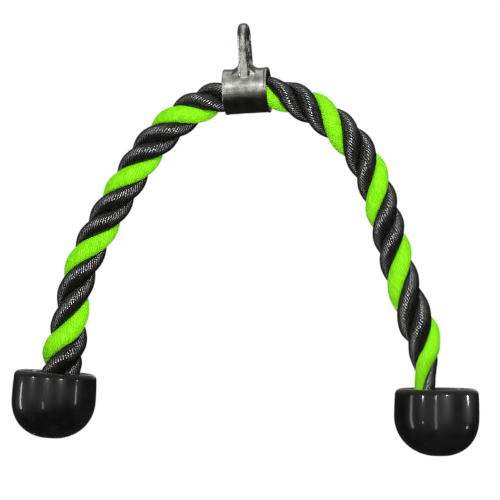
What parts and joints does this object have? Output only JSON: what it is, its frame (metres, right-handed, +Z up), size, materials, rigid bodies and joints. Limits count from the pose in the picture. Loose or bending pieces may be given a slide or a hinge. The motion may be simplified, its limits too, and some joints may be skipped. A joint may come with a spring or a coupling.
{
  "type": "triceps rope cable attachment",
  "caption": "Cable machine triceps rope: a thick laid rope hangs in an arch through a cast steel collar with an eye, and each of its ends is held in a round rubber stopper.",
  "frame": {"origin": "top of the eye's hole, at the middle of the eye's thickness, where the carabiner bears and the whole attachment hangs", "axes": "+Z up as it hangs, +X from the left leg to the right leg, +Y away from the viewer; the rope lies in the plane y = 0"},
  "size_m": [0.3861, 0.069, 0.3542],
  "materials": {
    "plated_casting": "satin",
    "laid_rope": "satin",
    "stopper_rubber": "gloss",
    "plated_steel": "satin",
    "whipping_tape": "matte"
  },
  "bodies": {
    "collar": {"eye_collar": "plated_casting", "rope_collar_stretch": "laid_rope"},
    "left_neck": {"rope_left_neck": "laid_rope"},
    "left_leg": {"rope_left_leg": "laid_rope", "left_washer": "plated_steel", "left_ferrule": "plated_steel", "left_whipping": "whipping_tape"},
    "left_stopper_body": {"left_stopper": "stopper_rubber", "left_plug": "stopper_rubber"},
    "right_neck": {"rope_right_neck": "laid_rope"},
    "right_leg": {"rope_right_leg": "laid_rope", "right_washer": "plated_steel", "right_ferrule": "plated_steel", "right_whipping": "whipping_tape"},
    "right_stopper_body": {"right_stopper": "stopper_rubber", "right_plug": "stopper_rubber"}
  },
  "joints": [
    {"name": "left_swing", "type": "hinge", "parent": "collar", "child": "left_neck", "pos_m": [-0.0215, 0, -0.05427], "axis": [0.9623, 0, 0.2719], "range_deg": [-60, 60]},
    {"name": "left_spread", "type": "hinge", "parent": "left_neck", "child": "left_leg", "pos_m": [-0.0215, 0, -0.05427], "axis": [0, 1, 0], "range_deg": [-24, 50], "stiffness_Nm_per_rad": 1.5, "springref_deg": 11.19, "deforming": ["rope_left_leg"]},
    {"name": "left_stopper_turn", "type": "hinge", "parent": "left_leg", "child": "left_stopper_body", "pos_m": [-0.1571, 0, -0.2801], "axis": [0.0698, 0, 0.9976], "continuous": true},
    {"name": "right_swing", "type": "hinge", "parent": "collar", "child": "right_neck", "pos_m": [0.02742, 0, -0.05154], "axis": [0.9866, 0, -0.1629], "range_deg": [-60, 60]},
    {"name": "right_spread", "type": "hinge", "parent": "right_neck", "child": "right_leg", "pos_m": [0.02742, 0, -0.05154], "axis": [0, -1, 0], "range_deg": [-24, 50], "stiffness_Nm_per_rad": 1.5, "springref_deg": 10.77, "deforming": ["rope_right_leg"]},
    {"name": "right_stopper_turn", "type": "hinge", "parent": "right_leg", "child": "right_stopper_body", "pos_m": [0.1587, 0, -0.2922], "axis": [0.007, 0, 1], "continuous": true}
  ]
}
